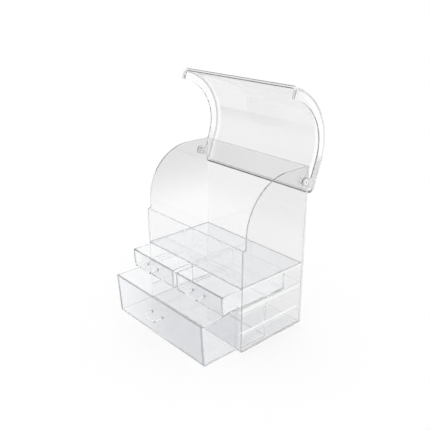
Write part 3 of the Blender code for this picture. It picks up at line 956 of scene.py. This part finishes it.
def add_handles():
    """Add a smooth bow handle in the place of each CAD one."""
    # The handles' white cloudy look is a painted highlight on the clear bars
    material = cloudy("handle_acrylic", HANDLE_CLEAR, handle_layers)
    for node, body in (
        ("large_drawer_handle", "large_drawer"),
        ("small_drawer_handle_left", "small_drawer_left"),
        ("small_drawer_handle_right", "small_drawer_right"),
    ):
        low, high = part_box(node)
        handle = add_piece(node + "_fine", handle_mesh(node + "_fine"), material)
        middle = Vector((0, -(HANDLE_REACH + HANDLE_RADIUS + HANDLE_GAP) / 2, 0))
        middle.rotate(Euler((FRONT_RAKE, 0, 0)))
        handle.location = (low + high) / 2 - middle
        handle.rotation_euler = (FRONT_RAKE, 0, 0)
        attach(handle, body)
        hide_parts(node)


def add_seams():
    """Add the bead of cement along each end of the shelves and the base; the right ones under the shelves are
    white, a painted glint.
    """
    clear_cement = acrylic("clear_cement", (0.985, 0.988, 0.99), (0.995, 0.995, 0.995))
    glint_cement = cloudy("glint_cement", GLINT_CEMENT_CLEAR)
    wall = CABINET_RIGHT - SEAM_CLEAR
    for shelf in ("top_shelf", "middle_shelf", "base_panel"):
        low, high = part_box(shelf)
        end = high.x + SEAM_CLEAR
        top = high.z - SEAM_UNDER_TOP
        underside = low.z - SEAM_CLEAR
        section = [(wall, top), (end, top), (end, low.z), (wall, low.z)]
        if shelf != "base_panel":
            section[2:] = [
                (end, underside), (end - SEAM_FILLET / 2, underside), (wall, low.z - SEAM_FILLET),
            ]
        for side, sign in (("left", -1), ("right", 1)):
            name = f"{shelf}_seam_{side}"
            rings = [[(sign * x, y, z) for x, z in section] for y in (low.y + SEAM_END, high.y - SEAM_END)]
            # Painted glint: the right seams under the shelves are white
            white = side == "right" and shelf != "base_panel"
            seam = add_piece(name, mesh_from(name, prism(*rings)), glint_cement if white else clear_cement)
            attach(seam, "cabinet")


def add_floor():
    """Add the pale floor, a wide disc."""
    rim = [
        (FLOOR_RADIUS * math.cos(turn), FLOOR_RADIUS * math.sin(turn), -FLOOR_GAP)
        for turn in turns(FLOOR_SIDES)
    ]
    mesh = bpy.data.meshes.new("floor")
    mesh.from_pydata(rim, [], [range(FLOOR_SIDES)])
    floor = bpy.data.objects.new("floor", mesh)
    bpy.context.scene.collection.objects.link(floor)
    material = bpy.data.materials.new("floor_paper")
    material.use_nodes = True
    shader = material.node_tree.nodes["Principled BSDF"]
    shader.inputs["Base Color"].default_value = (FLOOR_ALBEDO, FLOOR_ALBEDO, FLOOR_ALBEDO, 1)
    shader.inputs["Roughness"].default_value = 1.0
    shader.inputs["Specular IOR Level"].default_value = 0.0
    mesh.materials.append(material)


def add_world():
    """Light the studio from all round: white behind the organizer, darker high up before it."""
    world = bpy.data.worlds.new("studio")
    bpy.context.scene.world = world
    world.use_nodes = True
    world.node_tree.nodes.clear()
    nodes = Nodes(world.node_tree)
    direction = nodes.add("ShaderNodeTexCoord").outputs["Generated"]
    height = nodes.axes(direction)[2]
    toward_back = nodes.add("ShaderNodeVectorMath", operation="DOT_PRODUCT")
    toward_back.inputs[1].default_value = (-math.sin(CAMERA_AZIMUTH), math.cos(CAMERA_AZIMUTH), 0)
    nodes.link(direction, toward_back.inputs[0])
    front = nodes.spread(toward_back.outputs["Value"], ROOM_BEGIN, ROOM_END, 1.0, 0.0)
    above_horizon = nodes.spread(height, HORIZON_TOP, HORIZON_TOP + HORIZON_SOFT, 0.0, 1.0)
    room = nodes.spread(nodes.both(front, above_horizon), 0.0, 1.0, BACKDROP_LIGHT, ROOM_LIGHT)
    overhead = nodes.spread(height, LAMP_EDGE, LAMP_EDGE + LAMP_SOFT, 0.0, 1.0)
    from_room = nodes.both(room, nodes.math("SUBTRACT", 1.0, overhead))
    strength = nodes.math("ADD", from_room, nodes.both(overhead, LAMP_LIGHT))
    light = nodes.add("ShaderNodeBackground")
    light.inputs["Color"].default_value = (1, 1, 1, 1)
    nodes.link(strength, light.inputs["Strength"])
    output = nodes.add("ShaderNodeOutputWorld")
    nodes.link(light.outputs[0], output.inputs["Surface"])


def direction_from(azimuth, elevation):
    """Return the direction from the organizer to something this far round from its front, and this high."""
    level = math.cos(elevation)
    return Vector((math.sin(azimuth) * level, -math.cos(azimuth) * level, math.sin(elevation)))


def add_fill():
    """Add a broad soft light before the organizer and to its right."""
    data = bpy.data.lights.new("fill", "SUN")
    data.energy = FILL_POWER
    data.angle = FILL_ANGLE
    fill = bpy.data.objects.new("fill", data)
    bpy.context.scene.collection.objects.link(fill)
    toward = direction_from(FILL_AZIMUTH, FILL_ELEVATION)
    fill.location = toward
    fill.visible_glossy = False
    fill.rotation_mode = "QUATERNION"
    fill.rotation_quaternion = (-toward).to_track_quat("-Z", "Y")


def add_camera():
    """Add the camera at the photo's viewing angle."""
    back = direction_from(CAMERA_AZIMUTH, CAMERA_ELEVATION)
    data = bpy.data.cameras.new("camera")
    data.lens = CAMERA_LENS
    data.clip_end = 2 * FLOOR_RADIUS
    camera = bpy.data.objects.new("camera", data)
    bpy.context.scene.collection.objects.link(camera)
    camera.location = LOOK_AT + back * CAMERA_DISTANCE
    camera.rotation_mode = "QUATERNION"
    camera.rotation_quaternion = (-back).to_track_quat("-Z", "Y")
    bpy.context.scene.camera = camera


def set_light_paths():
    """Let light pass enough sheets, and leave out the noise of focused light."""
    scene = bpy.context.scene
    scene.view_settings.view_transform = "Standard"
    scene.cycles.max_bounces = LIGHT_BOUNCES
    scene.cycles.transmission_bounces = LIGHT_BOUNCES
    scene.cycles.glossy_bounces = LIGHT_BOUNCES
    scene.cycles.transparent_max_bounces = LIGHT_BOUNCES
    scene.cycles.caustics_reflective = False
    scene.cycles.caustics_refractive = False


dress_panels()
dress_levels()
dress_drawers()
dress_hinges()
add_lid()
add_handles()
add_seams()
add_floor()
add_world()
add_fill()
add_camera()
set_light_paths()
